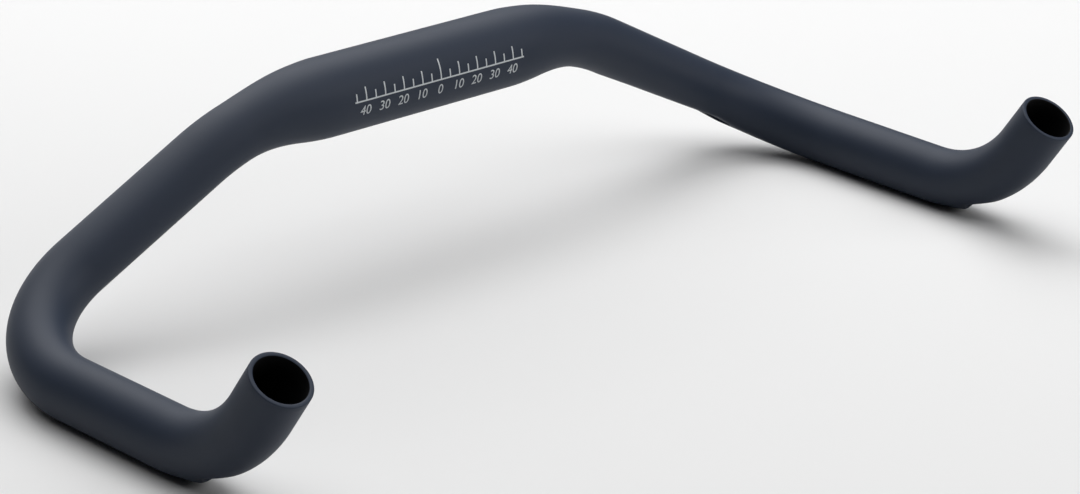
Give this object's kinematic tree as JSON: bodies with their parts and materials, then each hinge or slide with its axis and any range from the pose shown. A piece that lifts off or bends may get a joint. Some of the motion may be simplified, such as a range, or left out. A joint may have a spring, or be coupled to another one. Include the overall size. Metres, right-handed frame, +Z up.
{
  "type": "time trial handlebar",
  "caption": "One bent alloy tube for a time trial bicycle: thick clamp centre, sloping drops, forward horns, upturned open ends and cable holes underneath.",
  "frame": {"origin": "middle of the stem clamp zone, on its axis", "axes": "+X along the clamp axis towards the rider's left, -Y forward along the horns, +Z up with the horns level"},
  "size_m": [0.4438, 0.1809, 0.0888],
  "materials": {
    "black_alloy": "satin black anodised"
  },
  "bodies": {
    "root": {"handlebar": "black_alloy"}
  },
  "joints": []
}
